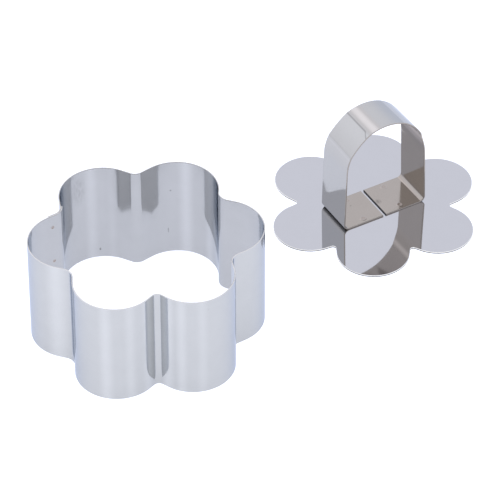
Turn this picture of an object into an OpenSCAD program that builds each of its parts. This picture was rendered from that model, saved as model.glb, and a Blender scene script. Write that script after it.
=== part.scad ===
// Mousse ring and presser: a lobed forming ring of thin steel sheet, open at both ends,
// and the plate that presses its filling flat, with a strap handle.
// Millimetres, Z up, origin at the centre of the ring's base.

/* [Ring] */
// height of the band
ring_height = 45; // [20:1:80]
// thickness of the band's sheet
ring_sheet = 0.5; // [0.3:0.05:0.8]
// from the ring's centre to the centre of each lobe
lobe_reach = 28.9; // [25:0.1:32]
// by how much each lobe's bend radius is over half of the lobes' pitch
lobe_swell = 1.45; // [0.8:0.05:3]
// bend radius of each valley, at the middle of the sheet
valley_radius = 4.8; // [3:0.1:6]
// flat run between a lobe's bend and a valley's
flank_run = 3.1; // [2.5:0.1:4]
// turn of the first lobe away from the X axis, in degrees
ring_turn = 7.5; // [0:0.5:60]

/* [Ring seam] */
// play between the two layers of the lap
lap_play = 0.05; // [0.02:0.01:0.1]
// number of spot welds up the seam
seam_welds = 3; // [2:1:5]
// from the band's edge to the nearest spot weld
seam_weld_edge = 5.6; // [3:0.1:8]
// width of a spot weld on the seam
seam_weld_width = 2.4; // [1:0.1:2.4]

/* [Presser plate] */
// thickness of the plate
plate_sheet = 0.8; // [0.6:0.1:1.5]
// play between the plate's lobes and the inside of the ring
plate_play = 1.3; // [0.5:0.1:2]
// radius of the notch between two lobes of the plate
notch_radius = 1.25; // [0.5:0.05:2]
// straight edge between a lobe of the plate and its notch
notch_run = 2.8; // [1:0.1:3.5]

/* [Handle] */
// outer width of the loop
loop_width = 36.8; // [30:0.1:44]
// height of the loop's top above the plate's underside
loop_height = 46.3; // [36:0.1:70]
// width of the strap
strap_width = 17.4; // [12:0.1:24]
// thickness of the strap
strap_sheet = 0.6; // [0.5:0.05:1]
// inner radius of the bend between a leg and its foot
foot_bend = 1.5; // [0.5:0.1:3]
// gap between the ends of the two feet
feet_gap = 1.3; // [0.5:0.1:4]
// width of a spot weld on a foot
foot_weld_width = 3; // [2:0.1:4]
// from the strap's edge to the middle of a spot weld
foot_weld_edge = 2.5; // [2.2:0.1:4]
// turn of the strap away from the line through two lobes, in degrees
handle_turn = 1.5; // [-5:0.5:5]

/* [Layout] */
// clear space between the ring and the presser, as they stand side by side
stand_gap = 24; // [5:0.1:60]
// direction from the ring to the presser, in degrees from the X axis
stand_angle = 38.4; // [0:0.1:360]
// turn of the plate's first lobe away from the X axis, in degrees
presser_turn = 28.5; // [0:0.5:60]

/* [Hidden] */
$fn = 120;

// lobes round the ring and round the plate
lobes = 6;
half_step = 180 / lobes;
// the valley, counted from the first lobe, in which the band's ends lap
seam_valley = 2;
// depth of the mark that a weld leaves in the sheet
weld_dent = 0.1;
// depth of a foot's weld in the plate
weld_sink = 0.4;
// how far a cut runs past the face that it opens
cut_over = 1;
// how far a flat's two ends are let into the bends, so that it crosses both
let_in = 0.004;
// how far the step between the band's two layers is buried in them
joggle_sink = 0.02;
// the flat left on the loop's shoulder, from and to these angles of the arch
flat_from = 118;
flat_to = 150;

// distance from the centre to a valley bend, for a lobe bend at reach, both bends and the flat between
function valley_reach(reach, lobe, valley, run) =
    reach * cos(half_step)
    + sqrt(pow(lobe + valley, 2) + pow(run, 2) - pow(reach * sin(half_step), 2));
// half of the angle that a lobe's bend turns through
function lobe_half_angle(reach, lobe, valley, run) =
    let (far = valley_reach(reach, lobe, valley, run))
    atan2(far * sin(half_step), far * cos(half_step) - reach) - atan2(run, lobe + valley);
function turned(point, angle) = [
    point[0] * cos(angle) - point[1] * sin(angle),
    point[0] * sin(angle) + point[1] * cos(angle)
];
// a point beside a lobe's flat: side is 1 at the lobe's end and -1 at its start, out is the distance
// from the lobe's centre square to the flat, along runs down the flat towards the valley
function flank_point(index, side, half_angle, out, along) =
    let (p = turned([out, along], half_angle))
    turned([lobe_reach + p[0], side * p[1]], 2 * half_step * index);

// bend radius of each lobe, at the middle of the sheet
lobe_radius = lobe_reach * sin(half_step) + lobe_swell;
lap_step = ring_sheet + lap_play;
ring_half_angle = lobe_half_angle(lobe_reach, lobe_radius, valley_radius, flank_run);
ring_valley_reach = valley_reach(lobe_reach, lobe_radius, valley_radius, flank_run);

plate_lobe = lobe_radius - ring_sheet / 2 - plate_play;
plate_half_angle = lobe_half_angle(lobe_reach, plate_lobe, notch_radius, notch_run);

ring_out = lobe_reach + lobe_radius + ring_sheet / 2;
plate_out = lobe_reach + plate_lobe;
stand_distance = ring_out + plate_out + stand_gap;

arch_radius = loop_width / 2;
arch_height = loop_height - arch_radius;
bend_out = foot_bend + strap_sheet;
foot_end = arch_radius - bend_out;
foot_middle = (feet_gap / 2 + foot_end) / 2;
weld_row = strap_width / 2 - foot_weld_edge;

ring_steel = [0.78, 0.80, 0.84];
plate_steel = [0.72, 0.74, 0.80];
strap_steel = [0.70, 0.68, 0.66];
weld_steel = [0.55, 0.50, 0.46];

// a closed outline of lobes joined by flats and rounded valleys
module flower(lobe, valley, half_angle, run) {
    far = valley_reach(lobe_reach, lobe, valley, run);
    difference() {
        union() {
            for (i = [0 : lobes - 1])
                translate(turned([lobe_reach, 0], 2 * half_step * i))
                    circle(lobe);
            polygon([
                for (i = [0 : lobes - 1])
                    each [
                        flank_point(i, -1, half_angle, lobe + let_in, run),
                        flank_point(i, -1, half_angle, lobe - let_in, 0),
                        turned([lobe_reach, 0], 2 * half_step * i),
                        flank_point(i, 1, half_angle, lobe - let_in, 0),
                        flank_point(i, 1, half_angle, lobe + let_in, run),
                        turned([far, 0], 2 * half_step * i + half_step)
                    ]
            ]);
        }
        for (i = [0 : lobes - 1])
            translate(turned([far, 0], 2 * half_step * i + half_step))
                circle(valley);
    }
}

// the space inside the band's sheet, grown outwards
module band_space(grow) {
    linear_extrude(ring_height)
        flower(lobe_radius + grow, valley_radius - grow, ring_half_angle, flank_run);
}

function seam_end(out, along) = flank_point(seam_valley, 1, ring_half_angle, out, along);
function seam_start(out, along) = flank_point(seam_valley + 1, -1, ring_half_angle, out, along);

// the stretch that the outer end covers: the valley and the flat after it
module lap_stretch() {
    inside = lobe_radius - lap_step;
    outside = lobe_radius + valley_radius;
    linear_extrude(ring_height)
        polygon([
            seam_end(inside, flank_run - ring_sheet), seam_end(outside, flank_run - ring_sheet),
            seam_start(outside, 0), seam_start(inside, 0),
            turned([ring_valley_reach - valley_radius - lap_step - ring_sheet, 0],
                2 * half_step * seam_valley + half_step)
        ]);
}

// the open stretch of the inner layer, from where the band steps out to its inner end
module inner_end_cut() {
    translate([0, 0, -cut_over])
        linear_extrude(ring_height + 2 * cut_over)
            polygon([
                for (p = [[-1, ring_sheet], [1, ring_sheet], [1, flank_run + ring_sheet / 2],
                          [-1, flank_run + ring_sheet / 2]])
                    seam_end(lobe_radius + p[0] * ring_sheet, p[1])
            ]);
}

// where the band steps out over its inner end
module joggle() {
    half_sheet = ring_sheet / 2 - joggle_sink;
    linear_extrude(ring_height)
        polygon([
            seam_end(lobe_radius - half_sheet, 0), seam_end(lobe_radius + half_sheet, 0),
            seam_end(lobe_radius + lap_step + half_sheet, flank_run),
            seam_end(lobe_radius + lap_step - half_sheet, flank_run)
        ]);
}

module lapped_band() {
    difference() {
        band_space(ring_sheet / 2);
        band_space(-ring_sheet / 2);
        inner_end_cut();
    }
    difference() {
        intersection() {
            band_space(lap_step + ring_sheet / 2);
            lap_stretch();
        }
        band_space(lap_step - ring_sheet / 2);
    }
    joggle();
}

// places of the spot welds on the flat of the lap, with Z pointing out of the ring
module at_seam_welds() {
    pitch = (ring_height - 2 * seam_weld_edge) / (seam_welds - 1);
    rotate(2 * half_step * (seam_valley + 1))
        translate([lobe_reach, 0, 0])
            rotate(-ring_half_angle)
                for (i = [0 : seam_welds - 1])
                    translate([lobe_radius, -flank_run / 2, seam_weld_edge + pitch * i])
                        rotate([0, 90, 0])
                            children();
}

module ring_band() {
    color(ring_steel)
        rotate(ring_turn)
            difference() {
                lapped_band();
                at_seam_welds()
                    translate([0, 0, -ring_sheet - cut_over])
                        cylinder(d = seam_weld_width, h = 2 * ring_sheet + lap_step + 2 * cut_over);
            }
}

module ring_seam_welds() {
    color(weld_steel)
        rotate(ring_turn)
            at_seam_welds()
                translate([0, 0, weld_dent - ring_sheet / 2])
                    cylinder(d = seam_weld_width, h = ring_sheet + lap_step - 2 * weld_dent);
}

// where the presser stands beside the ring
module at_presser() {
    rotate(stand_angle)
        translate([stand_distance, 0, 0])
            rotate(presser_turn - stand_angle)
                children();
}

module at_foot_welds() {
    rotate(handle_turn)
        for (x = [-foot_middle, foot_middle], y = [-weld_row, weld_row])
            translate([x, y, plate_sheet])
                children();
}

module presser_plate() {
    color(plate_steel)
        at_presser()
            difference() {
                linear_extrude(plate_sheet)
                    flower(plate_lobe, notch_radius, plate_half_angle, notch_run);
                at_foot_welds()
                    translate([0, 0, -weld_sink])
                        cylinder(d = foot_weld_width, h = weld_sink + cut_over);
            }
}

// the side view of the space inside the strap's loop, grown outwards
module loop_space(grow) {
    reach = arch_radius - strap_sheet + grow;
    corner = foot_bend + grow;
    low = plate_sheet + strap_sheet - grow;
    flat_middle = (flat_from + flat_to) / 2;
    flat_reach = reach * cos((flat_to - flat_from) / 2);
    difference() {
        union() {
            translate([0, arch_height])
                circle(reach);
            translate([-reach, low + corner])
                square([2 * reach, arch_height - low - corner]);
            translate([corner - reach, low])
                square([2 * (reach - corner), 2 * corner]);
            for (x = [corner - reach, reach - corner])
                translate([x, low + corner])
                    circle(corner);
        }
        translate([0, arch_height])
            rotate(flat_middle)
                translate([flat_reach, -reach])
                    square(2 * reach);
    }
}

module handle_strap() {
    color(strap_steel)
        at_presser()
            difference() {
                rotate(handle_turn)
                    translate([0, strap_width / 2, 0])
                        rotate([90, 0, 0])
                            linear_extrude(strap_width)
                                difference() {
                                    loop_space(strap_sheet);
                                    loop_space(0);
                                    translate([-feet_gap / 2, plate_sheet - cut_over])
                                        square([feet_gap, strap_sheet + 2 * cut_over]);
                                }
                at_foot_welds()
                    translate([0, 0, -cut_over])
                        cylinder(d = foot_weld_width, h = strap_sheet + 2 * cut_over);
            }
}

module handle_welds() {
    color(weld_steel)
        at_presser()
            at_foot_welds()
                translate([0, 0, -weld_sink])
                    cylinder(d = foot_weld_width, h = weld_sink + strap_sheet - weld_dent);
}

ring_band();
ring_seam_welds();
presser_plate();
handle_strap();
handle_welds();
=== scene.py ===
# %% [markdown]
# # A lobed mousse ring and its presser
# The ring is one strip of thin stainless steel, bent into six lobes and spot-welded where its ends
# lap. The presser is a plate of the same outline, a little smaller, with a strap bent into a loop
# and spot-welded on it. Both are bright sheet, so most of what the eye sees is a reflection: the
# shapes have to be exact and smooth before any finish can look right.
#
# The ring comes first, then the strap, the plate and the welds, and last the white tent round
# them. Lengths are in millimetres and angles in degrees, unless a comment says metres. Blender
# works in metres, and a length times MM is that.

# %% Open the fixed frame and set the units
import math

import bmesh
import bpy
from mathutils import Matrix, Vector


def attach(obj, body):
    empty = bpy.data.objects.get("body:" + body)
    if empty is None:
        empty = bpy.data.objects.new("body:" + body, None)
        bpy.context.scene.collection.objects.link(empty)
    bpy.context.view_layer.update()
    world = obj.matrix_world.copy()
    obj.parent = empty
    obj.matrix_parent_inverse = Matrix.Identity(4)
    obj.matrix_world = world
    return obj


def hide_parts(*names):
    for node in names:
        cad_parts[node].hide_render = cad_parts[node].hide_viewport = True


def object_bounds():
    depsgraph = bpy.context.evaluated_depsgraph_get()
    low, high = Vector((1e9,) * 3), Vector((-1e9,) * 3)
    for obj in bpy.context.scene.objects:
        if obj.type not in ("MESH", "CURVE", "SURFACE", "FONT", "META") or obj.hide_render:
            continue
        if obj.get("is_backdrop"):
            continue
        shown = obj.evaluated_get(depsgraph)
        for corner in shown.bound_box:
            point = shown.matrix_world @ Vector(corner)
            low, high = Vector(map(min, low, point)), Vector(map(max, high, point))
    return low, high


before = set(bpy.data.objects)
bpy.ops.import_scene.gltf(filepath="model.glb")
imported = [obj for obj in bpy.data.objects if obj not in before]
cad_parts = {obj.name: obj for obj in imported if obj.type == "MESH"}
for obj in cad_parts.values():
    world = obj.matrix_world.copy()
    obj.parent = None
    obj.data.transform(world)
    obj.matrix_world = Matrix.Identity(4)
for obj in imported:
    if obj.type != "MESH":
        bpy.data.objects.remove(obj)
cad_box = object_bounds()
MM = 0.001

# %% [markdown]
# ## Two small helpers
# Every outline below is set out from a centre by distances and directions, as with a compass, so
# one helper turns a point about the centre. The other puts a new thing into the scene, which each
# piece, lamp and camera needs.


# %% Turn a point, and put a thing into the scene
def turned(point, angle):
    """A point of the plan, turned about the centre by an angle in degrees."""
    (x, y), a = point, math.radians(angle)
    return (x * math.cos(a) - y * math.sin(a), x * math.sin(a) + y * math.cos(a))


def new_object(name, data):
    """An object in the scene for a mesh, a curve, a lamp or a camera."""
    made = bpy.data.objects.new(name, data)
    bpy.context.scene.collection.objects.link(made)
    return made


print("(10, 0) turned by 90 degrees:", [round(v) for v in turned((10, 0), 90)])

# %% [markdown]
# ## The ring's sizes
# They are the same millimetres as in the construction, so that each dressed piece lies where its
# solid lies. The six lobes are large bends, and a small bend the other way makes the valley between
# two of them. A short flat joins a large bend to a small one, so the place of every valley follows
# from the other sizes.

# %% Sizes of the ring, in millimetres and degrees
LOBES = 6
STEP = 360 / LOBES
LOBE_REACH = 28.9  # from the centre to the centre of a lobe
LOBE_RADIUS = 15.9  # at the middle of the sheet, as the other radii are
VALLEY_RADIUS = 4.8
FLANK_RUN = 3.1  # the flat between a lobe's bend and a valley's
RING_TURN = 7.5  # direction of the first lobe
RING_HEIGHT = 45
RING_SHEET = 0.5
LAP_STEP = 0.55  # one sheet and the play between the two layers
SEAM_VALLEY = 2  # the ends lap in the valley after this lobe


def valley_reach(lobe, valley, run):
    """How far out a valley's bend has its centre, with a flat of that run before it."""
    half = math.radians(STEP / 2)
    across = LOBE_REACH * math.sin(half)
    return LOBE_REACH * math.cos(half) + math.sqrt((lobe + valley) ** 2 + run**2 - across**2)


RING_VALLEY_REACH = valley_reach(LOBE_RADIUS, VALLEY_RADIUS, FLANK_RUN)
print("the valleys are bent round centres", round(RING_VALLEY_REACH, 2), "mm out")

# %% [markdown]
# ## Bending over pegs
# A band like this can be bent by hand or by machine over round pegs: a large one for each lobe,
# inside the band, and a small one for each valley, outside it. Between two pegs the strip is
# straight and touches both. So a path is only a list of pegs, and it stays smooth wherever they
# are. Each bend is a true arc in small equal steps, which keeps the reflections in it clean.

# %% The path of a strip over its pegs
BEND_STEP = 1.5  # degrees
FEWEST_STEPS = 4


def over_pegs(pegs, first_heading, last_heading):
    """Points along a strip. A peg is (x, y, radius, side), and side is 1 on the strip's left."""
    headings = [first_heading]
    # The flat between two pegs leans off the line from middle to middle.
    for (x1, y1, radius1, side1), (x2, y2, radius2, side2) in zip(pegs, pegs[1:]):
        apart = math.hypot(x2 - x1, y2 - y1)
        lean = math.asin(max(-1, min(1, (side1 * radius1 - side2 * radius2) / apart)))
        headings.append(math.degrees(math.atan2(y2 - y1, x2 - x1) + lean))
    headings.append(last_heading)
    points = []
    # Round each peg the strip turns from one flat's heading to the next one's.
    for (x, y, radius, side), here, there in zip(pegs, headings, headings[1:]):
        turn = side * (side * (there - here) % 360)
        count = max(FEWEST_STEPS, round(abs(turn) / BEND_STEP))
        for i in range(count + 1):
            out = turned((0, -side * radius), here + turn * i / count)
            points.append((x + out[0], y + out[1]))
    return points


def peg(reach, angle, radius, side):
    """A peg at a distance and direction from the middle."""
    return (*turned((reach, 0), angle), radius, side)


print("a half turn has", len(over_pegs([peg(0, 0, LOBE_RADIUS, 1)], 0, 180)), "points")

# %% [markdown]
# ## The ring's path
# The strip starts with its inner end in the seam's valley, goes once round all six lobes, steps
# out by one sheet, and covers its own start with the last valley and flat. Bending by hand leaves
# the ring a little uneven. The front valley was pressed tighter and deeper than the others. The
# rear one is a little tighter too, but less deep, and the two lobes beside it came out larger.
# The flats of these two valleys mirror each other as dark stripes, so each has its own sizes.

# %% The ring's strip over its pegs
OWN_VALLEYS = {1: (35.7, 3.87), 4: (34.2, 2.5)}  # after these lobes: how near, and its radius
OWN_LOBES = {1: (28.3, 16.33), 2: (28.6, 16.36)}  # how far out each is, and its radius

seam_angle = RING_TURN + STEP * (SEAM_VALLEY + 0.5)
ring_pegs = [peg(RING_VALLEY_REACH, seam_angle, VALLEY_RADIUS, -1)]
for count in range(SEAM_VALLEY + 1, SEAM_VALLEY + 1 + LOBES):
    angle = RING_TURN + STEP * count
    reach, lobe_bend = OWN_LOBES.get(count % LOBES, (LOBE_REACH, LOBE_RADIUS))
    plain_valley = (RING_VALLEY_REACH - VALLEY_RADIUS, VALLEY_RADIUS)
    near, valley_bend = OWN_VALLEYS.get(count % LOBES, plain_valley)
    ring_pegs.append(peg(reach, angle, lobe_bend, 1))
    ring_pegs.append(peg(near + valley_bend, angle + STEP / 2, valley_bend, -1))
ring_pegs[-1] = peg(RING_VALLEY_REACH, seam_angle, VALLEY_RADIUS - LAP_STEP, -1)

valley = turned((RING_VALLEY_REACH, 0), STEP / 2)
to_seam = math.atan2(valley[1], valley[0] - LOBE_REACH)
# A lobe bends by this angle to each side of its middle, and there its flats begin.
RING_HALF_ANGLE = math.degrees(to_seam - math.atan2(FLANK_RUN, LOBE_RADIUS + VALLEY_RADIUS))
end_skip = math.degrees(RING_SHEET / 2 / VALLEY_RADIUS)  # the inner end starts inside the bend
inner_heading = seam_angle - STEP / 2 + RING_HALF_ANGLE + 90 - end_skip
outer_heading = seam_angle + STEP / 2 - RING_HALF_ANGLE + 90
ring_path = over_pegs(ring_pegs, inner_heading, outer_heading)
last_run = turned((FLANK_RUN, 0), outer_heading)
ring_path.append((ring_path[-1][0] + last_run[0], ring_path[-1][1] + last_run[1]))
print("the ring's path has", len(ring_pegs), "pegs and", len(ring_path), "points")

# %% [markdown]
# ## One helper for every node
# Both the shapes and the finishes are built from nodes, so one small function adds a node, sets
# its properties, and fills each input with a value or with a link from another node.

# %% Add a node with its settings and links
MATH, MAP_RANGE = "ShaderNodeMath", "ShaderNodeMapRange"
MAPPING, NOISE = "ShaderNodeMapping", "ShaderNodeTexNoise"
PLACES, SPLIT = "ShaderNodeTexCoord", "ShaderNodeSeparateXYZ"
METAL, SURFACE = "ShaderNodeBsdfPrincipled", "ShaderNodeOutputMaterial"
SMOOTH = {"interpolation_type": "SMOOTHSTEP"}
PLUS, TIMES, TIMES_PLUS = ({"operation": o} for o in ("ADD", "MULTIPLY", "MULTIPLY_ADD"))


def add(tree, kind, settings=None, inputs=()):
    """A new node. Inputs go by name or in order, and a node stands for its first output."""
    new = tree.nodes.new(kind)
    for name, value in (settings or {}).items():
        setattr(new, name, value)
    for name, value in inputs.items() if isinstance(inputs, dict) else enumerate(inputs):
        if isinstance(value, bpy.types.Node):
            value = value.outputs[0]
        if isinstance(value, bpy.types.NodeSocket):
            tree.links.new(value, new.inputs[name])
        else:
            new.inputs[name].default_value = value
    return new


print("sums in the finishes:", [s["operation"] for s in (PLUS, TIMES, TIMES_PLUS)])


# %% Start a finish, and turn a colour to linear
def new_finish(name):
    """A material with an empty tree, and the tree."""
    made = bpy.data.materials.new(name)
    made.use_nodes = True
    made.node_tree.nodes.clear()
    return made, made.node_tree


def linear(hex_colour):
    """An sRGB hex colour as the linear numbers that a shader works in."""
    parts = [int(hex_colour[i : i + 2], 16) / 255 for i in (0, 2, 4)]
    return [p / 12.92 if p <= 0.04045 else ((p + 0.055) / 1.055) ** 2.4 for p in parts] + [1]


print("the ring's steel, as linear colour:", [round(v, 3) for v in linear("c6c6c3")])

# %% [markdown]
# ## The skin of rolled sheet
# Stainless sheet comes off the rolls with a faint grain along the strip, patches that are a little
# duller, and tiny specks. The eye reads these in the reflections more than in the colour. Each
# pattern is sized in real millimetres. The true grain is near 0.05 mm wide, too fine to show, so it
# is drawn 0.5 mm wide and very weak. A picture of real steel would blur and repeat, so noise draws
# them all. Every pattern gives the share of the light that it leaves, and the shares are
# multiplied.

# %% Grain, patches and specks
GRAIN_LONG, GRAIN_WIDE = 20, 0.5
GRAIN_SHARES = (0.994, 1.004)  # in a line of the grain and beside it
PATCH, PATCH_LOSS = 9, 0.03
FINE_SPAN, BROAD_SPAN = (0.2, 0.8), (0.3, 0.7)  # where most values of a noise lie
SPECKS_APART, SPECK_LOSS = 11, 0.35
SPECKED = 0.2  # the share of the cells that have a speck
SPECK_CORE, SPECK_RIM = 0.02, 0.05  # how far out a speck is full and gone, in cells


def rolled_skin(tree, place, scuffs):
    """The patches of a rolled sheet, and the shares that its grain, patches and specks leave."""
    stretch = (1 / (GRAIN_LONG * MM), 1 / (GRAIN_WIDE * MM), 1)
    stretched = add(tree, MAPPING, None, {"Vector": place, "Scale": stretch})
    grain_look = {"Vector": stretched, "Scale": 1, "Detail": 2}
    grain = add(tree, NOISE, {"noise_dimensions": "2D"}, grain_look)
    patch_look = {"Vector": place, "Scale": 1 / (PATCH * MM), "Detail": 4, "Roughness": 0.6}
    patches = add(tree, NOISE, None, patch_look)
    cell_look = {"Vector": place, "Scale": 1 / (SPECKS_APART * MM)}
    cells = add(tree, "ShaderNodeTexVoronoi", None, cell_look).outputs
    chance = add(tree, "ShaderNodeSeparateColor", None, (cells["Color"],))
    chosen = add(tree, MATH, {"operation": "GREATER_THAN"}, (chance, 1 - SPECKED))
    dot = add(tree, MAP_RANGE, None, (cells["Distance"], SPECK_CORE, SPECK_RIM, 1, 0))
    speck = add(tree, MATH, TIMES, (dot, chosen))
    shares = [
        add(tree, MAP_RANGE, None, (grain, *FINE_SPAN, *GRAIN_SHARES)),
        add(tree, MAP_RANGE, None, (patches, *BROAD_SPAN, 1 - PATCH_LOSS * scuffs, 1)),
        add(tree, MATH, TIMES_PLUS, (speck, -SPECK_LOSS * scuffs, 1)),
    ]
    return patches, shares


print("one cell in", round(1 / SPECKED), "has a speck")

# %% [markdown]
# ## Painted light, and the marks of use
# Bands across the strip are painted light: a lighter band is a painted highlight, and a darker one
# is painted shade in a crease or where the strip turns under.
# Handling rubs small ovals of the sheet dull. Both are measured along and across the strip, from
# the middle of its width. A Mapping node sets the middle of an oval at zero and its rim at one, so
# the length of the mapped place says how far out in the oval a point lies. Marks could be painted
# on the strip's map too, but a place in millimetres is easier to move and to measure.


# %% Bands across the strip
# Each band is painted light in the base colour: a painted highlight or painted shade.
def painted_light_bands(tree, place, bands):
    """The share that each band leaves: its place along, half width and change, and how it curls.

    A curl is how far the band's middle moves at the strip's edge, the edge, and where it starts.
    """
    along, across, _ = add(tree, SPLIT, None, (place,)).outputs
    shares = []
    for where, half_width, change, *curl in bands:
        middle = where * MM
        if curl:
            moved, edge, start = (v * MM for v in curl)
            middle = add(tree, MAP_RANGE, SMOOTH, (across, edge, start, middle + moved, middle))
        offset = add(tree, MATH, {"operation": "SUBTRACT"}, (along, middle))
        distance = add(tree, MATH, {"operation": "ABSOLUTE"}, (offset,))
        shares.append(add(tree, MAP_RANGE, SMOOTH, (distance, 0, half_width * MM, 1 + change, 1)))
    return shares


print("a band fades out towards its half width")

# %% Rubbed ovals
RUB_WIDE, RUB_LONG = 0.8, 2.2  # one streak of the grain in a rub
RUB_SPAN = (0.25, 0.65)  # the grain's values between which it fades in
RUB_CORE = 0.3  # how far out an oval stays full


def rub_marks(tree, place, rubs):
    """The share that each rub leaves: its place along and across, its half sizes and its change."""
    stretch = (1 / (RUB_WIDE * MM), 1 / (RUB_LONG * MM), 1)
    stretched = add(tree, MAPPING, None, {"Vector": place, "Scale": stretch})
    grain = add(tree, NOISE, None, {"Vector": stretched, "Scale": 1, "Detail": 3})
    broken = add(tree, MAP_RANGE, None, (grain, *RUB_SPAN, 0, 1))
    shares = []
    for along, across, half_width, half_height, change in rubs:
        centre = (-along / half_width, -across / half_height, 0)
        size = (1 / (half_width * MM), 1 / (half_height * MM), 0)
        oval = add(tree, MAPPING, None, {"Vector": place, "Location": centre, "Scale": size})
        away = add(tree, "ShaderNodeVectorMath", {"operation": "LENGTH"}, (oval,)).outputs["Value"]
        faded = add(tree, MAP_RANGE, SMOOTH, (away, RUB_CORE, 1, 1, 0))
        worn = add(tree, MATH, TIMES, (faded, broken))
        shares.append(add(tree, MATH, TIMES_PLUS, (worn, change, 1)))
    return shares


print("a streak in a rub is", RUB_WIDE, "by", RUB_LONG, "mm")

# %% [markdown]
# ## Steel sheet
# A metal needs no IOR: its base colour is how much it reflects, and its specular tint is the colour
# at a grazing angle, which is a little bluer and darker here than a perfect mirror's. Handling
# leaves thin sheet very slightly wavy, so a low, wide bump bends the reflections.

# %% A sheet's finish
WAVE_LONG = 14
PATCH_DULLER, PATCH_BRIGHTER = 0.5, 0.85  # what a patch does to the roughness


def sheet_steel(name, colour, grazing, roughness, wave, scuffs, bands=(), rubs=(), on_strip=True):
    """Bright steel. wave is the height in mm of its unevenness, scuffs how strong its marks are."""
    made, tree = new_finish(name)
    if on_strip:
        place = add(tree, "ShaderNodeUVMap", {"uv_map": "strip"}).outputs["UV"]
    else:
        place = add(tree, PLACES).outputs["Object"]
    patches, shares = rolled_skin(tree, place, scuffs)
    if bands:
        shares += painted_light_bands(tree, place, bands)
    if rubs:
        shares += rub_marks(tree, place, rubs)
    tone, *others = shares
    for share in others:
        tone = add(tree, MATH, TIMES, (tone, share))
    toned = {0: linear(colour)[:3], "Scale": tone}
    duller, brighter = roughness * (1 + PATCH_DULLER * scuffs), roughness * PATCH_BRIGHTER
    wave_look = {"Vector": place, "Scale": 1 / (WAVE_LONG * MM), "Detail": 1}
    waves = add(tree, NOISE, None, wave_look)
    uneven = {"Height": waves, "Distance": wave * MM, "Strength": 1}
    steel_look = {
        "Base Color": add(tree, "ShaderNodeVectorMath", {"operation": "SCALE"}, toned),
        "Metallic": 1,
        "Roughness": add(tree, MAP_RANGE, None, (patches, *BROAD_SPAN, duller, brighter)),
        "Specular Tint": linear(grazing),
        "Normal": add(tree, "ShaderNodeBump", None, uneven),
    }
    shader = add(tree, METAL, None, steel_look)
    add(tree, SURFACE, None, (shader,))
    print(name, "has", len(tree.nodes), "nodes,", len(bands), "bands and", len(rubs), "rubs")
    return made


print("a wave of the sheet is", WAVE_LONG, "mm long")

# %% [markdown]
# ## A bent strip with Geometry Nodes
# The ring and the strap are the same kind of thing: a rounded flat section swept along a bent
# path. A flat strip bent by modifiers would smear one bend into the next, and a sweep keeps each
# exact. One node tree makes both, with the sheet's thickness, its width and its edge as named
# inputs. The sweep keeps, for each point, how far along and how far across the strip it lies, and
# on which side of the sheet.

# %% Start a tree with its named inputs
STORE, SET_FINISH = "GeometryNodeStoreNamedAttribute", "GeometryNodeSetMaterial"
PER_POINT = {"data_type": "FLOAT", "domain": "POINT"}


def node_group(name, inputs, output):
    """An empty tree, and its inputs, each given by its name and its kind."""
    tree = bpy.data.node_groups.new(name, "GeometryNodeTree")
    for socket, kind in inputs.items():
        tree.interface.new_socket(socket, in_out="INPUT", socket_type="NodeSocket" + kind)
    tree.interface.new_socket(output, in_out="OUTPUT", socket_type="NodeSocketGeometry")
    return tree, add(tree, "NodeGroupInput").outputs


lengths = dict.fromkeys(("Sheet", "Width", "Edge round", "Edge side"), "Float")
finishes = dict.fromkeys(("Outside finish", "Inside finish", "Rim finish"), "Material")
strip_tree, given = node_group("bent_strip", {"Path": "Geometry", **lengths, **finishes}, "Strip")
print("the strip's tree takes", 1 + len(lengths) + len(finishes), "inputs")

# %% Sweep a rounded section along the path
flat = {"Width": given["Sheet"], "Height": given["Width"]}
section = add(strip_tree, "GeometryNodeCurvePrimitiveQuadrilateral", None, flat)
corners = {"Curve": section, "Radius": given["Edge round"], "Count": 3}
section = add(strip_tree, "GeometryNodeFilletCurve", {"mode": "POLY"}, corners)
spot = add(strip_tree, "GeometryNodeInputPosition")
offsets = add(strip_tree, SPLIT, None, (spot,)).outputs
for name, axis in (("side", "X"), ("across", "Y")):
    kept = {"Geometry": section, "Name": name, "Value": offsets[axis]}
    section = add(strip_tree, STORE, PER_POINT, kept)
line = add(strip_tree, "GeometryNodeSetCurveNormal", {"mode": "Z_UP"}, {"Curve": given["Path"]})
run = add(strip_tree, "GeometryNodeSplineParameter").outputs["Length"]
line = add(strip_tree, STORE, PER_POINT, {"Geometry": line, "Name": "along", "Value": run})
sweep = {"Curve": line, "Profile Curve": section, "Fill Caps": True}
swept = add(strip_tree, "GeometryNodeCurveToMesh", None, sweep)
print("the sweep takes", len(strip_tree.nodes), "nodes")

# %% [markdown]
# ## A strip's map and its three finishes
# The places along and across become a UV map in metres, so that the grain follows every bend. The
# kept side tells the inside of the sheet from the outside, and the place across tells its cut rims,
# so each gets its own finish. Edge side says how far from the middle of the sheet the inside
# begins, and so which finish the rounded edge takes.

# %% Map the strip
along, across, side = (
    add(strip_tree, "GeometryNodeInputNamedAttribute", {"data_type": "FLOAT"}, {"Name": name})
    for name in ("along", "across", "side")
)
flat_place = add(strip_tree, "ShaderNodeCombineXYZ", None, (along, across))
mapped = add(
    strip_tree,
    STORE,
    {"data_type": "FLOAT2", "domain": "CORNER"},
    {"Geometry": swept, "Name": "strip", "Value": flat_place},
)
print("with its map it takes", len(strip_tree.nodes), "nodes")

# %% Set the strip's finishes
RIM_DEPTH = 0.12

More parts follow.
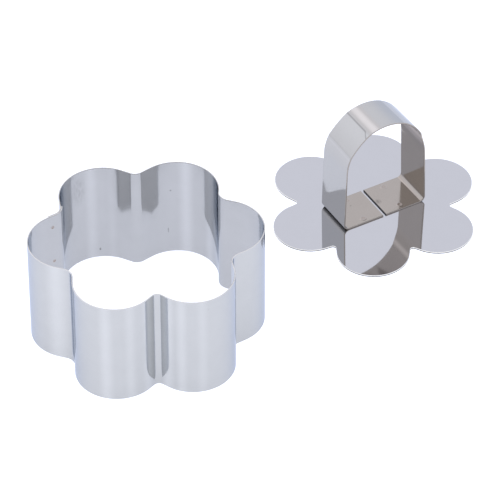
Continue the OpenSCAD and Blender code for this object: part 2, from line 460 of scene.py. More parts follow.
from_line = add(strip_tree, MATH, {"operation": "ABSOLUTE"}, (across,))
to_rim = add(strip_tree, MATH, TIMES_PLUS, (given["Width"], -0.5, from_line))
is_inside = add(strip_tree, MATH, {"operation": "LESS_THAN"}, (side, given["Edge side"]))
is_rim = add(strip_tree, MATH, {"operation": "GREATER_THAN"}, (to_rim, -RIM_DEPTH * MM))
whole = add(strip_tree, "GeometryNodeRealizeInstances", None, (mapped,))
shown = add(strip_tree, SET_FINISH, None, {"Geometry": whole, "Material": given["Outside finish"]})
for chosen, finish in ((is_inside, "Inside finish"), (is_rim, "Rim finish")):
    covered = {"Geometry": shown, "Selection": chosen, "Material": given[finish]}
    shown = add(strip_tree, SET_FINISH, None, covered)
add(strip_tree, "NodeGroupOutput", None, {"Strip": shown})
print("the strip's whole tree has", len(strip_tree.nodes), "nodes")

# %% [markdown]
# ## From nodes to a plain mesh
# A modifier's inputs are set by their identifiers before the object is first evaluated. The result
# is then copied to a plain mesh and the modifier goes, because the exported model keeps plain
# meshes only. The normals are turned outwards on the closed shell, and only edges sharper than a
# bend stay sharp, so a bend's small steps blend into one surface.

# %% Turn and smooth a mesh
MERGE = 0.0001  # mm
SHARP = 12  # degrees, many times a bend's step


def finish_mesh(mesh):
    """Turns the faces outwards and shades the bends smooth."""
    shell = bmesh.new()
    shell.from_mesh(mesh)
    bmesh.ops.remove_doubles(shell, verts=shell.verts, dist=MERGE * MM)
    bmesh.ops.recalc_face_normals(shell, faces=shell.faces)
    open_edges = sum(1 for e in shell.edges if len(e.link_faces) != 2)
    shell.to_mesh(mesh)
    shell.free()
    mesh.shade_smooth()
    mesh.set_sharp_from_angle(angle=math.radians(SHARP))
    print(mesh.name, "has", len(mesh.polygons), "faces and", open_edges, "open edges")


print("edges stay sharp from", SHARP, "degrees")


# %% Run a tree once and keep its mesh
def run_tree(name, source, tree, values):
    """The mesh that a node tree makes of an object, as a new object of that name."""
    modifier = source.modifiers.new(tree.name, "NODES")
    modifier.node_group = tree
    for item in tree.interface.items_tree:
        if item.name in values and item.in_out == "INPUT":
            modifier[item.identifier] = values[item.name]
    graph = bpy.context.evaluated_depsgraph_get()
    mesh = bpy.data.meshes.new_from_object(source.evaluated_get(graph))
    source.modifiers.remove(modifier)
    bpy.data.objects.remove(source)
    mesh.name = name
    return new_object(name, mesh)


def path_object(name, points, tilt=lambda x, y: 0):
    """An open curve through points of a plan in mm, tilted at each point by so many degrees."""
    curve = bpy.data.curves.new(name, "CURVE")
    curve.dimensions = "3D"
    line = curve.splines.new("POLY")
    line.points.add(len(points) - 1)
    for point, (x, y) in zip(line.points, points):
        point.co = (x * MM, y * MM, 0, 1)
        point.tilt = math.radians(tilt(x, y))
    return new_object(name, curve)


print("trees to run:", bpy.data.node_groups.keys())

# %% [markdown]
# ## The ring's finish
# The ring is cold-rolled sheet, bright but not a mirror. Its soft-edged light bands are painted
# highlights: lighter bands painted into its colour where the steel mirrors the bright tent. Outside
# and inside have the same steel and different painted highlights, and the inside has rubs too. A
# band is given by the lobe that it is on and by its direction from that lobe's centre. The cut rims
# are sheared, so they are rougher, and their lighter colour is a painted highlight, a pale line of
# light.


# %% Find a place on the ring's strip
def along_to(path, place):
    """How far along a path its nearest point to a place lies, in mm."""
    nearest = min(range(len(path)), key=lambda i: math.dist(path[i], place))
    return sum(math.dist(a, b) for a, b in zip(path[:nearest], path[1:]))


def on_ring(lobe, direction):
    """How far along the ring's strip a direction from a lobe's centre points."""
    centre = turned((LOBE_REACH, 0), RING_TURN + STEP * lobe)
    out = turned((LOBE_RADIUS, 0), direction)
    return along_to(ring_path, (centre[0] + out[0], centre[1] + out[1]))


print("the ring's strip is", round(along_to(ring_path, ring_path[-1]), 1), "mm long")

# %% The bands and rubs of the ring
# Each band is a painted highlight: lighter colour where the steel mirrors a bright part of the
# tent.
outside_bands = [  # lobe, direction, half width, change
    (0, 30, 3.0, 0.10),
    (1, 60, 3.5, 0.09),
    (2, 125, 4.5, 0.12),
    (3, 256.8, 5.8, 0.14),
    (4, 257.4, 3.6, 0.12),
    (4, 291, 3.0, 0.083),
    (4, 319, 3.8, 0.13),
    (5, 234.5, 3.6, 0.16),
    (5, 255.8, 2.9, 0.115),
    (5, 284.2, 2.9, 0.07),
]
# The inside's bands are painted highlights too.
inside_bands = [
    (1, 38, 3.5, 0.12),
    (1, 78, 4.0, 0.15),
    (2, 78, 2.5, 0.04),
    (2, 107, 3.5, 0.11),
    (4, 255, 4, 0.1),
    (5, 300, 3.5, 0.1),
]
inside_rubs = [  # lobe, direction, height on the ring, half width, half height, change
    (2, 128, 36, 4.5, 9, -0.15),
    (1, 104, 11, 0.35, 1.6, -0.7),
    (2, 96, 4, 0.5, 0.9, -0.6),
]
outside_bands = [(on_ring(lobe, way), *band) for lobe, way, *band in outside_bands]
inside_bands = [(on_ring(lobe, way), *band) for lobe, way, *band in inside_bands]
inside_rubs = [
    (on_ring(lobe, way), RING_HEIGHT / 2 - height, *rub) for lobe, way, height, *rub in inside_rubs
]
print("the bands outside lie", [round(band[0]) for band in outside_bands], "mm along it")

# %% The ring's three finishes
rolled = {"roughness": 0.10, "wave": 0.05, "scuffs": 1}
ring_outside = sheet_steel(
    "rolled_stainless_ring_outside", "c6c6c3", "dde3ef", **rolled, bands=outside_bands
)
inside_highlights_and_rubs = {"bands": inside_bands, "rubs": inside_rubs}
ring_inside = sheet_steel(
    "rolled_stainless_ring_inside", "c5c5c4", "ecf0f6", **rolled, **inside_highlights_and_rubs
)
sheared = {"roughness": 0.2, "wave": 0.02, "scuffs": 1}
# The rim's colour, lighter than the sheet's, is a painted highlight: the pale line of light on the
# cut rim.
ring_rim = sheet_steel("sheared_ring_rim", "d3d0cb", "f0ede8", **sheared)

# %% [markdown]
# ## The ring
# With the path, the tree and the finishes ready, the ring is one call. The strip is swept in the
# plan, half its width above and half below, and then lifted to stand on its lower rim.

# %% Sweep the ring
EDGE_ROUND = 0.2  # the eased corners of both strips
RING_INSIDE_FROM = -0.1  # where the inside's finish begins, from the middle of the sheet

ring = run_tree(
    "ring_strip",
    path_object("ring_line", ring_path),
    strip_tree,
    {
        "Sheet": RING_SHEET * MM,
        "Width": RING_HEIGHT * MM,
        "Edge round": EDGE_ROUND * MM,
        "Edge side": RING_INSIDE_FROM * MM,
        "Outside finish": ring_outside,
        "Inside finish": ring_inside,
        "Rim finish": ring_rim,
    },
)
ring.data.transform(Matrix.Translation((0, 0, RING_HEIGHT / 2 * MM)))
finish_mesh(ring.data)

# %% [markdown]
# ## The strap's path
# Seen from its side, the strap is bent over a small peg at each foot and a large one for the arch.
# Nobody bends thin strap by hand into a perfect arch: both shoulders came out flatter, the left one
# between two sharp creases, the right one with a sharp bend low down and a soft one above. A
# shoulder is three more pegs, all inside the arch's own circle: a small one, a very large one that
# just touches both, and another small one. The right leg bends gently inwards over its own peg.

# %% Sizes of the strap, in millimetres and degrees
PLATE_SHEET = 0.8  # the feet lie on the plate
LOOP_HALF = 18.45  # from the loop's middle to the middle of a leg's sheet, at the feet
ARCH_RADIUS = 17.65
ARCH_HEIGHT = 28.15
STRAP_WIDTH = 17.4
STRAP_SHEET = 0.6
FOOT_BEND = 2.2
FEET_GAP = 1.3
LEFT_CREASES = (115.5, 153)  # the left shoulder's two creases, as angles of the arch
RIGHT_CREASES = (26, 64)
LEFT_BENDS = (1.5, 1.5)  # the bend radius of each crease
RIGHT_BENDS = (1, 9.6)
LEFT_FLAT, RIGHT_FLAT = 32, 19.5  # the radius of the flatter sheet between two creases
RIGHT_LEG = (17.95, 25.3, 21)  # where the right leg starts to bend in, across and up, and how round
foot_level = PLATE_SHEET + STRAP_SHEET / 2
print("the loop is", round(ARCH_HEIGHT + ARCH_RADIUS + STRAP_SHEET / 2, 1), "mm high")


# %% The strap over its pegs
def shoulder_pegs(creases, bends, flat):
    """Three pegs that press the arch flatter: a bend at each crease, and a wide arc between."""
    first, last = (peg(ARCH_RADIUS - bend, angle, bend, 1) for angle, bend in zip(creases, bends))
    apart = math.dist(first[:2], last[:2])
    run = ((flat - bends[0]) ** 2 - (flat - bends[1]) ** 2 + apart**2) / (2 * apart)
    away = math.sqrt((flat - bends[0]) ** 2 - run**2)
    way = math.degrees(math.atan2(last[1] - first[1], last[0] - first[0]))
    out = turned((run, away), way)
    wide = (first[0] + out[0], first[1] + out[1], flat, 1)
    return [(x, ARCH_HEIGHT + y, radius, side) for x, y, radius, side in (first, wide, last)]


arch_peg = (0, ARCH_HEIGHT, ARCH_RADIUS, 1)
strap_pegs = [
    (LOOP_HALF - FOOT_BEND, foot_level + FOOT_BEND, FOOT_BEND, 1),
    (RIGHT_LEG[0] - RIGHT_LEG[2], *RIGHT_LEG[1:], 1),
    *shoulder_pegs(RIGHT_CREASES, RIGHT_BENDS, RIGHT_FLAT),
    arch_peg,
    *shoulder_pegs(LEFT_CREASES, LEFT_BENDS, LEFT_FLAT),
    arch_peg,
    (FOOT_BEND - LOOP_HALF, foot_level + FOOT_BEND, FOOT_BEND, 1),
]
strap_path = over_pegs(strap_pegs, 0, 0)
strap_path = [(FEET_GAP / 2, foot_level), *strap_path, (-FEET_GAP / 2, foot_level)]
strap_length = along_to(strap_path, strap_path[-1])
print("the strap is", round(strap_length, 1), "mm long before it is bent")

# %% [markdown]
# ## The strap's finish
# The strap is polished on its outside. Painted light is in its colour there: a dark line of painted
# shade at the upper left crease that curls towards the front edge, faint painted shade before the
# lower crease and a painted highlight after it, and a dark band of painted shadow where each foot
# bend turns under. Its inside is duller, and its darker, warmer colour is painted shade from the
# light that bounces between the strap and the plate. The inside also has a bright sliver at the
# right shoulder, a painted highlight, a line of painted shadow at the end of the right foot, and
# brown specks beside the welds.

# %% The marks on the strap
crease_places = []
for angle in (*LEFT_CREASES, RIGHT_CREASES[0]):
    out = turned((ARCH_RADIUS, 0), angle)
    crease_places.append(along_to(strap_path, (out[0], ARCH_HEIGHT + out[1])))
upper_crease, lower_crease, right_bend = crease_places
# A foot's dark band is painted shadow where the foot bend turns under.
foot_turn = LOOP_HALF - FOOT_BEND - FEET_GAP / 2 + 1.0  # from a foot's end to its dark band
crease_curl = (1.6, -0.5 * STRAP_WIDTH, -0.3 * STRAP_WIDTH)
# Painted shade in the upper crease, faint painted shade before the lower crease, a painted
# highlight after it, and painted shadow at each foot bend.
outside_painted_light = [  # place along, half width, change, and the curl of one
    (upper_crease, 0.55, -0.32, *crease_curl),
    (lower_crease - 0.2, 0.8, -0.06),
    (lower_crease + 1.1, 0.5, 0.05),
    (foot_turn, 1.9, -0.9),
    (strap_length - foot_turn, 1.9, -0.9),
]
# Inside: a dark line of painted shadow at the end of the right foot, in the gap between the feet,
# and a bright sliver at the right shoulder, a painted highlight.
inside_painted_light = [(0, 0.18, -0.9), (right_bend - 2.0, 2.2, 0.45)]  # on the inside
heat_specks = [(1.3, -0.4, 1.7, 1.9, -0.35), (strap_length - 8.2, 2.8, 0.5, 0.5, -0.4)]
print("the strap's creases lie", [round(c, 1) for c in crease_places], "mm along it")

# %% The strap's two finishes
polished = {"roughness": 0.08, "wave": 0.02, "scuffs": 0.7, "bands": outside_painted_light}
strap_outside = sheet_steel("stainless_strap_outside", "bab8b4", "e3e8f0", **polished)
worn = {"roughness": 0.10, "wave": 0.04, "scuffs": 1, "bands": inside_painted_light, "rubs": heat_specks}
# The inside's darker, warmer colour is painted shade from the light that bounces between the strap
# and the plate.
strap_inside = sheet_steel("stainless_strap_inside", "a8a097", "e6e9ee", **worn)

# %% [markdown]
# ## The handle loop
# The strap is swept in its own plan and then stood on the plate. The real loop isn't quite upright:
# it leans back a little, which a shear does without lifting its feet, and the top of its arch is
# twisted, which the tilt of the path's points does.

# %% Sweep the strap
ARCH_TWIST = 2.1
STRAP_INSIDE_FROM = 0.12


def arch_tilt(_, y):
    """The arch's twist, which fades to nothing in the legs."""
    rise = max(0, (y - ARCH_HEIGHT) / ARCH_RADIUS)
    return ARCH_TWIST * rise * rise * (3 - 2 * min(1, rise))


strap = run_tree(
    "handle_loop",
    path_object("strap_line", strap_path, arch_tilt),
    strip_tree,
    {
        "Sheet": STRAP_SHEET * MM,
        "Width": STRAP_WIDTH * MM,
        "Edge round": EDGE_ROUND * MM,
        "Edge side": STRAP_INSIDE_FROM * MM,
        "Outside finish": strap_outside,
        "Inside finish": strap_inside,
        "Rim finish": strap_inside,
    },
)
print("its arch is twisted by", ARCH_TWIST, "degrees")

# %% Stand the loop on the plate
PRESSER_AT = (88.009, 69.755)
PRESSER_TURN = 28.5
HANDLE_TURN = PRESSER_TURN + 1.5
LOOP_LEAN = 0.7

slope = math.tan(math.radians(LOOP_LEAN))
lean_back = Matrix.Identity(4)
lean_back[2][1] = -slope
lean_back[2][3] = slope * foot_level * MM
at_presser = Matrix.Translation((PRESSER_AT[0] * MM, PRESSER_AT[1] * MM, 0))
turn_round = Matrix.Rotation(math.radians(HANDLE_TURN), 4, "Z")
stand_up = Matrix.Rotation(math.radians(90), 4, "X")
strap.data.transform(at_presser @ turn_round @ stand_up @ lean_back)
finish_mesh(strap.data)

# %% [markdown]
# ## The plate's finish
# The plate is polished sheet, so it mirrors the strap almost sharply. It has no bends, so its
# patterns read Object coordinates. A press punches it out. Its edge is painted with light: a
# near-white upper zone is a painted highlight, and a dark lower zone is a painted shadow where the
# plate meets the floor, so the eye sees two thin lines round the plate. Streaks across the edge
# make the border between the zones uneven.

# %% The polished faces
mirror = {"roughness": 0.03, "wave": 0.01, "scuffs": 0.4, "on_strip": False}
plate_steel = sheet_steel("polished_stainless_plate", "bebdbe", "f0f2f6", **mirror)

# %% The plate's edge, with a painted highlight and a painted shadow
STREAK, BORDER_SHIFT = 0.4, 0.15  # how wide a streak is, and how far it moves the border
# Below this share the edge is painted shadow, and above the next it is a painted highlight.
PAINTED_SHADOW_TO, PAINTED_HIGHLIGHT_FROM = 0.58, 0.70  # shares of the sheet, from its underside

edge_highlight_and_shadow, tree = new_finish("sheared_plate_edge")
place = add(tree, PLACES).outputs["Object"]
height = add(tree, SPLIT, None, (place,)).outputs["Z"]
upright = (1 / (STREAK * MM), 1 / (STREAK * MM), 0)
streaks = add(tree, MAPPING, None, {"Vector": place, "Scale": upright})
streak = add(tree, NOISE, None, {"Vector": streaks, "Scale": 1, "Detail": 1})
shifted_height = add(tree, MATH, TIMES_PLUS, (streak, BORDER_SHIFT * MM, height))
zone = add(tree, MAP_RANGE, None, (shifted_height, 0, PLATE_SHEET * MM, 0, 1))
tint = add(tree, "ShaderNodeValToRGB", None, (zone,))
stops = tint.color_ramp.elements
# Dark below is a painted shadow where the edge meets the floor, and near-white above is a painted
# highlight.
stops[0].position, stops[0].color = PAINTED_SHADOW_TO, linear("3a393a")
stops[1].position, stops[1].color = PAINTED_HIGHLIGHT_FROM, linear("fffbf0")
edge_look = {"Base Color": tint, "Metallic": 1, "Roughness": 0.35}
shader = add(tree, METAL, None, edge_look)
add(tree, SURFACE, None, (shader,))
print(edge_highlight_and_shadow.name, "has", len(tree.nodes), "nodes")

# %% [markdown]
# ## The plate
# The plate's outline is the ring's, smaller by the play that lets it slide inside, with a tight
# notch for each valley. The edge is eased so that it can't cut a hand or the filling. The plate is
# modelled as a stack of outlines, because a bevel would pinch in the tight notches. Each is the
# same outline with its lobes a little smaller and its notches a little larger, so the eased edge
# follows the outline exactly everywhere.

# %% The plate's outline
PLATE_LOBE = 14.35
NOTCH_RADIUS = 1.25
NOTCH_RUN = 2.8
EASED = 0.15  # the chamfer of the edge
EASED_MIDDLE = 0.3 * EASED  # the middle of the eased edge, out from the chamfer
FACE_RIM = 0.3  # the outermost ring of the flat faces
PLATE_NOTCH_REACH = valley_reach(PLATE_LOBE, NOTCH_RADIUS, NOTCH_RUN)


def plate_outline(inset):
    """The plate's lobed outline in mm, moved inwards by inset."""
    start = PRESSER_TURN - STEP / 2
    pegs = [peg(PLATE_NOTCH_REACH, start, NOTCH_RADIUS + inset, -1)]
    for lobe in range(LOBES):
        angle = PRESSER_TURN + STEP * lobe
        pegs.append(peg(LOBE_REACH, angle, PLATE_LOBE - inset, 1))
        pegs.append(peg(PLATE_NOTCH_REACH, angle + STEP / 2, NOTCH_RADIUS + inset, -1))
    return over_pegs(pegs, start + 90, start + 90)[:-1]


def plate_corner(x, y, height):
    """A point of the plate, given in mm from its own middle."""
    return ((x + PRESSER_AT[0]) * MM, (y + PRESSER_AT[1]) * MM, height * MM)


print("the plate's outline has", len(plate_outline(0)), "points")


# %% Keep a shell
def shell_object(name, shell):
    """An object for a shell that is complete."""
    mesh = bpy.data.meshes.new(name)
    shell.to_mesh(mesh)
    shell.free()
    return new_object(name, mesh)


print("pieces so far:", ring.name, strap.name)

# %% Stack the plate's outlines
levels = [(FACE_RIM, 0), (EASED, 0), (EASED_MIDDLE, EASED_MIDDLE), (0, EASED)]
levels += [(inset, PLATE_SHEET - height) for inset, height in reversed(levels)]
plate_shell = bmesh.new()
loops = [
    [plate_shell.verts.new(plate_corner(x, y, height)) for x, y in plate_outline(inset)]
    for inset, height in levels
]
for low, high, (inset, _) in zip(loops, loops[1:], levels[1:]):
    for i in range(len(low)):
        j = (i + 1) % len(low)
        wall = plate_shell.faces.new((low[i], low[j], high[j], high[i]))
        wall.material_index = 1 if inset < EASED else 0
for loop, height in ((loops[0], 0), (loops[-1], PLATE_SHEET)):
    middle = plate_shell.verts.new(plate_corner(0, 0, height))
    for i in range(len(loop)):
        plate_shell.faces.new((middle, loop[i], loop[(i + 1) % len(loop)]))
plate = shell_object("presser_plate_sheet", plate_shell)
plate.data.materials.append(plate_steel)
plate.data.materials.append(edge_highlight_and_shadow)
finish_mesh(plate.data)

# %% [markdown]
# ## The tint of a weld
# A spot weld is made by two copper tips that pinch the sheets and pass a current. Each leaves a
# shallow dish, a little duller than the sheet, and the heat tints a faint straw to brown ring round
# it. The tint follows the distance from the middle of the dish, an attribute of the mesh, and fades
# into the colour of the sheet that the weld is on. Blotches break the ring up.

# %% The heat-tinted finish of a weld
BLOTCH, BLOTCH_SHIFT = 1.3, 0.9  # how large a blotch is, and how far it moves the tint
DISH_TO, TINGE_AT = 0.55, 0.82  # places on the shifted way from the middle to the rim


def weld_finish(name, sheet, dish, tinge):
    """Steel that goes from the dish's colour over a heat tint to the sheet's colour."""
    made, tree = new_finish(name)
    from_middle = add(tree, "ShaderNodeAttribute", {"attribute_name": "from_middle"}).outputs["Fac"]
    place = add(tree, PLACES).outputs["Object"]
    blotch_look = {"Vector": place, "Scale": 1 / (BLOTCH * MM), "Detail": 3}
    blotches = add(tree, NOISE, None, blotch_look)
    shifted = add(tree, MATH, TIMES_PLUS, (blotches, BLOTCH_SHIFT, from_middle))
    tint = add(tree, "ShaderNodeValToRGB", None, (shifted,))
    stops = tint.color_ramp.elements
    stops[0].position, stops[0].color = DISH_TO, linear(dish)
    stops[1].position, stops[1].color = 1, linear(sheet)
    stops.new(TINGE_AT).color = linear(tinge)
    weld_look = {"Base Color": tint, "Metallic": 1, "Roughness": 0.22}
    shader = add(tree, METAL, None, weld_look)
    add(tree, SURFACE, None, (shader,))
    return made


seam_weld_steel = weld_finish("heat_tinted_seam_weld", "c6c5c3", "c0bdb9", "9a8272")
# The foot welds fade into the strap inside's darker colour, which is painted shade.
foot_weld_steel = weld_finish("heat_tinted_foot_weld", "a8a098", "ada59d", "9b8f85")
print("weld finishes:", seam_weld_steel.name, foot_weld_steel.name)

# %% [markdown]
# ## One spot weld
# A weld is turned like a small coin with a dish and a low lip in each face: its outline is spun
# round its axis. The copper tips press harder on the soft, hot strap than on the ring's thin lap,
# so the dishes on the feet are deeper. A bump would look alike, but a mesh keeps only real shape.

# %% Turn one weld
DISH = [(0, 0.2), (0.3, 0.35), (0.55, 0.8), (0.74, 1), (0.88, 0.6)]  # share of radius, share of lip
LET_IN = 0.01  # a coin's rim is just under the sheet
COIN_SIDES = 32


def weld_coin(name, width, length, lip):
    """A coin from -length to 0 along Z, with a dished face and a low lip at both ends."""
    r = width / 2
    face = [(share * r, part * lip) for share, part in DISH] + [(r, -LET_IN)]
    outline = face + [(x, -length - z) for x, z in reversed(face)]
    shell = bmesh.new()
    from_middle = shell.verts.layers.float.new("from_middle")
    rows = []
    for x, z in outline:
        spokes = [turned((x, 0), 360 / COIN_SIDES * i) for i in range(COIN_SIDES if x else 1)]
        rows.append([shell.verts.new((u * MM, v * MM, z * MM)) for u, v in spokes])
        for vert in rows[-1]:
            vert[from_middle] = x / r
    for a, b in zip(rows, rows[1:]):
        for i in range(COIN_SIDES):
            j = (i + 1) % COIN_SIDES
            corners = [a[i % len(a)], a[j % len(a)], b[j % len(b)], b[i % len(b)]]
            shell.faces.new(list(dict.fromkeys(corners)))
    return shell_object(name, shell)


print("a coin has", len(DISH) + 1, "circles on each face")

# %% One coin for the seam and one for the feet
SEAM_WELD_WIDTH, SEAM_WELD_LIP = 2.4, 0.01
FOOT_WELD_WIDTH, FOOT_WELD_LIP = 3.0, 0.08
FOOT_WELD_SINK = 0.4  # how deep a foot's weld goes into the plate
seam_length, foot_length = LAP_STEP + RING_SHEET, STRAP_SHEET + FOOT_WELD_SINK
seam_coin = weld_coin("seam_coin", SEAM_WELD_WIDTH, seam_length, SEAM_WELD_LIP)
foot_coin = weld_coin("foot_coin", FOOT_WELD_WIDTH, foot_length, FOOT_WELD_LIP)
print("a coin has", len(seam_coin.data.polygons), "faces")

# %% [markdown]
# ## Spot welds on points
# The welds repeat. They could be copied and turned by hand, but a node tree that puts a coin on
# each weld's point keeps them all alike. Each point also says which way its weld faces: out of the
# seam, or straight up from a foot.

# %% The tree that sets a weld on each point
weld_tree, given = node_group(
    "spot_welds", {"Points": "Geometry", "Weld": "Object", "Finish": "Material"}, "Welds"
)
coin_info = {"Object": given["Weld"], "As Instance": True}
coin = add(weld_tree, "GeometryNodeObjectInfo", None, coin_info).outputs["Geometry"]
facing = add(
    weld_tree, "GeometryNodeInputNamedAttribute", {"data_type": "FLOAT_VECTOR"}, {"Name": "facing"}
)
turn = add(weld_tree, "FunctionNodeAlignRotationToVector", {"axis": "Z"}, {"Vector": facing})
setting = {"Points": given["Points"], "Instance": coin, "Rotation": turn}
placed = add(weld_tree, "GeometryNodeInstanceOnPoints", None, setting)
real = add(weld_tree, "GeometryNodeRealizeInstances", None, (placed,))
tinted = add(weld_tree, SET_FINISH, None, {"Geometry": real, "Material": given["Finish"]})
add(weld_tree, "NodeGroupOutput", None, {"Welds": tinted})
print("the welds' tree has", len(weld_tree.nodes), "nodes")


# %% Weld a list of places
def set_welds(name, coin_used, finish, places):
    """Welds on bare points, each given by its place in mm and by the way that it faces."""
    mesh = bpy.data.meshes.new("points_of_" + name)
    mesh.from_pydata([[v * MM for v in place] for place, _ in places], [], [])
    ways = mesh.attributes.new("facing", "FLOAT_VECTOR", "POINT")
    for i, (_, way) in enumerate(places):
        ways.data[i].vector = way
    points = new_object(mesh.name, mesh)
    welds = run_tree(name, points, weld_tree, {"Weld": coin_used, "Finish": finish})
    finish_mesh(welds.data)
    bpy.data.objects.remove(coin_used)
    print(name, "are", len(places), "welds")
    return welds


# %% [markdown]
# ## The welds in their places
# Three welds go up the middle of the lap's flat. The strap has two on each foot, near its edges,
# where the tips of a spot welder can reach in from both sides of the loop.

# %% Weld the ring's seam and the strap's feet
SEAM_WELD_HEIGHTS = [5.6, 22.5, 39.4]
FOOT_WELD_AT = (8.475, 6.2)  # from the middle of the plate, along the feet and across them

flank_angle = RING_TURN + STEP * (SEAM_VALLEY + 1)
flank_middle = (LOBE_RADIUS + LAP_STEP + RING_SHEET / 2, -FLANK_RUN / 2)
flank_middle = turned(flank_middle, -RING_HALF_ANGLE)
seam_spot = turned((LOBE_REACH + flank_middle[0], flank_middle[1]), flank_angle)
seam_way = (*turned((1, 0), flank_angle - RING_HALF_ANGLE), 0)
seam_places = [((*seam_spot, z), seam_way) for z in SEAM_WELD_HEIGHTS]
seam_welds = set_welds("seam_weld_marks", seam_coin, seam_weld_steel, seam_places)

foot_top = PLATE_SHEET + STRAP_SHEET
foot_places = []
for u in (-FOOT_WELD_AT[0], FOOT_WELD_AT[0]):
    for n in (-FOOT_WELD_AT[1], FOOT_WELD_AT[1]):
        x, y = turned((u, n), HANDLE_TURN)
        foot_places.append(((x + PRESSER_AT[0], y + PRESSER_AT[1], foot_top), (0, 0, 1)))
foot_welds = set_welds("foot_weld_marks", foot_coin, foot_weld_steel, foot_places)

# %% [markdown]
# ## What moves with what
# The ring and the presser are loose from each other, so the model has two bodies. Each dressed
# piece rides on its body and stands for its CAD solid, which stays in the frame for the physics.

# %% Ride and replace
for piece, body, cad_node, slot in (
    (ring, "ring", "ring_band", "ring_sheet"),
    (seam_welds, "ring", "ring_seam_welds", "weld_marks"),
    (plate, "presser", "presser_plate", "plate_sheet"),
    (strap, "presser", "handle_strap", "strap_sheet"),
    (foot_welds, "presser", "handle_welds", "weld_marks"),
):
    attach(piece, body)
    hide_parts(cad_node)
    print(piece.name, "rides on", body, "for", cad_node)

# %% [markdown]
# ## The floor
# Bright sheet has to be photographed inside a white tent, because it shows whatever stands round
# it. The floor is the tent's white paper. Camera, glossy and transmitted rays see a glow of its own
# added to its diffuse grey, so it is white in the picture and in the steel, and it still takes the
# shadows. Other rays don't see the glow, so it doesn't fill the shadows in.

# %% Lay the floor
GLOW, CAMERA_GLOW = 0.68, 0.25  # what mirrored rays see, and what the camera sees on top of it
GLOW_TINT = (1.0, 1.04, 1.20, 1)
PAPER = (0.42, 0.42, 0.42, 1)
FLOOR_RADIUS = 6000
FLOOR_DROP = 0.03  # so that no underside lies exactly in the floor

floor_paper, tree = new_finish("white_paper_floor")
rays = add(tree, "ShaderNodeLightPath").outputs
seen = add(tree, MATH, PLUS, (rays["Is Camera Ray"], rays["Is Glossy Ray"]))
seen = add(tree, MATH, {**PLUS, "use_clamp": True}, (seen, rays["Is Transmission Ray"]))
glow = add(tree, MATH, TIMES, (seen, GLOW))
glow = add(tree, MATH, TIMES_PLUS, (rays["Is Camera Ray"], CAMERA_GLOW, glow))
shine = add(tree, "ShaderNodeEmission", None, {"Color": GLOW_TINT, "Strength": glow})
paper = add(tree, "ShaderNodeBsdfDiffuse", None, {"Color": PAPER})
floor_shader = add(tree, "ShaderNodeAddShader", None, (shine, paper))
add(tree, SURFACE, None, (floor_shader,))

floor_shell = bmesh.new()
bmesh.ops.create_circle(floor_shell, cap_ends=True, segments=96, radius=FLOOR_RADIUS * MM)
floor = shell_object("floor", floor_shell)
floor.data.materials.append(floor_paper)
floor.location = (0, 0, -FLOOR_DROP * MM)
floor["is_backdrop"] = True
print("the floor is", 2 * FLOOR_RADIUS / 1000, "m across")

# %% [markdown]
# ## The white tent
# The world is the rest of the tent: slightly cool white, and brighter overhead. It is bluer low
# down on the right, a little brighter on the left, and a lamp outside the cloth makes a soft warm
# spot behind and to the left. The camera itself sees plain white. Cloth walls and lamps could be
# built instead, but a world of soft changes does the same with less noise.

# %% The brightness of the tent
LOW, HIGH = 0.15, 0.6  # the heights between which the tent changes
LOW_LEVEL, HIGH_LEVEL = 0.97, 1.10
LEFT_EXTRA, LAMP_EXTRA = 0.14, 0.40
LEFT_SPAN = (-0.8, -0.45)  # where it is fully brighter, and where that ends
LAMP_WAY = Vector((-0.294, 0.585, 0.756)).normalized()
LAMP_EDGE = 0.983  # the cosine between the lamp's way and the rim of its spot

world = bpy.data.worlds.new("white_tent")
bpy.context.scene.world = world
world.use_nodes = True
tree = world.node_tree
tree.nodes.clear()
direction = add(tree, PLACES).outputs["Generated"]
side_way, _, height = add(tree, SPLIT, None, (direction,)).outputs
towards = add(tree, "ShaderNodeVectorMath", {"operation": "DOT_PRODUCT"}, (direction, LAMP_WAY))
towards = towards.outputs["Value"]
level = add(tree, MAP_RANGE, SMOOTH, (height, LOW, HIGH, LOW_LEVEL, HIGH_LEVEL))
for brighter in (
    add(tree, MAP_RANGE, SMOOTH, (side_way, *LEFT_SPAN, LEFT_EXTRA, 0)),
    add(tree, MAP_RANGE, SMOOTH, (towards, LAMP_EDGE, 1, 0, LAMP_EXTRA)),
):
    level = add(tree, MATH, PLUS, (level, brighter))
print("the tent's brightness takes", len(tree.nodes), "nodes")

# %% The colours of the tent
PLAIN_TINT, LOW_TINT = (1.0, 1.03, 1.15, 1), (0.98, 1.04, 1.22, 1)
LAMP_TINT = (1.03, 1.015, 1.10, 1)
BLUE_SPAN = (-0.5, 0)  # where, sideways, the blue fades in
WARM_EDGE = 0.95  # as LAMP_EDGE, for the lamp's warmth
MIX_COLOUR = {"data_type": "RGBA"}

low_down = add(tree, MAP_RANGE, SMOOTH, (height, LOW, HIGH, 1, 0))
on_right = add(tree, MAP_RANGE, SMOOTH, (side_way, *BLUE_SPAN, 0, 1))
blue = add(tree, MATH, TIMES, (low_down, on_right))
warm = add(tree, MAP_RANGE, SMOOTH, (towards, WARM_EDGE, 1, 0, 1))
tint = add(tree, "ShaderNodeMix", MIX_COLOUR, {0: blue, 6: PLAIN_TINT, 7: LOW_TINT}).outputs[2]
tint = add(tree, "ShaderNodeMix", MIX_COLOUR, {0: warm, 6: tint, 7: LAMP_TINT}).outputs[2]
rays = add(tree, "ShaderNodeLightPath").outputs
tent = add(tree, "ShaderNodeBackground", None, {"Color": tint, "Strength": level})
white = add(tree, "ShaderNodeBackground", None, {"Color": (1, 1, 1, 1), "Strength": 1})
shown = add(tree, "ShaderNodeMixShader", None, (rays["Is Camera Ray"], tent, white))
add(tree, "ShaderNodeOutputWorld", None, {"Surface": shown})
print("the tent has", len(tree.nodes), "nodes")

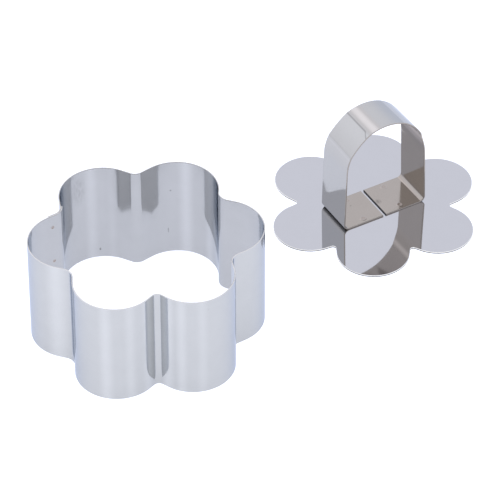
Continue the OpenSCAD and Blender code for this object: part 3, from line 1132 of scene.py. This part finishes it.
# %% [markdown]
# ## One soft box
# The tent lights everything from all round, so the object would hardly cast a shadow. One square
# lamp in front on the left, no brighter to look at than the tent, gives a faint direction.

# %% The lamp in front on the left
BOX_SIZE = 0.4  # metres
BOX_BRIGHTNESS = 0.8  # to look at, beside the tent's 1
BOX_AT, BOX_AIM = Vector((-0.6, -0.7, 0.5)), Vector((0.03, 0.02, 0.02))  # metres

lamp = bpy.data.lights.new("box_front_left", "AREA")
lamp.shape = "SQUARE"
lamp.size = BOX_SIZE
lamp.energy = BOX_BRIGHTNESS * math.pi * BOX_SIZE * BOX_SIZE
soft_box = new_object("box_front_left", lamp)
soft_box.location = BOX_AT
soft_box.rotation_euler = (BOX_AIM - BOX_AT).to_track_quat("-Z", "Y").to_euler()
print("the soft box gives", round(lamp.energy, 2), "W")

# %% [markdown]
# ## The camera
# It stands a metre and a half away with a long lens, 41 degrees above the table, as the photograph
# was taken. From so far the lines of the ring hardly converge.

# %% Set the camera
CAMERA_AIM = Vector((39.003, 42.576, 0)) * MM
CAMERA_RISE = math.radians(40.99)
CAMERA_AWAY = 1.5  # metres
SENSOR = 36
PICTURE = 500  # pixels across
PIXELS_PER_SLOPE = 3825.3  # pixels from the middle for a ray that slopes one in one

camera_data = bpy.data.cameras.new("camera")
camera_data.sensor_width = SENSOR
camera_data.lens = PIXELS_PER_SLOPE / PICTURE * SENSOR
camera = new_object("camera", camera_data)
back = Vector((0, -math.cos(CAMERA_RISE), math.sin(CAMERA_RISE)))
camera.location = CAMERA_AIM + CAMERA_AWAY * back
camera.rotation_euler = (math.pi / 2 - CAMERA_RISE, 0, 0)
bpy.context.scene.camera = camera
bpy.context.scene.view_settings.view_transform = "Standard"
print("the lens is", round(camera_data.lens), "mm long")

# %% [markdown]
# ## The sizes of the pieces
# The dressed pieces must be no larger than the solids that they stand for, so both boxes are
# printed.

# %% Print both boxes
new_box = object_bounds()
boxes = {"cad": [list(v) for v in cad_box], "scene": [list(v) for v in new_box]}
for name in boxes:
    print(name, [[round(1000 * v, 2) for v in corner] for corner in boxes[name]])
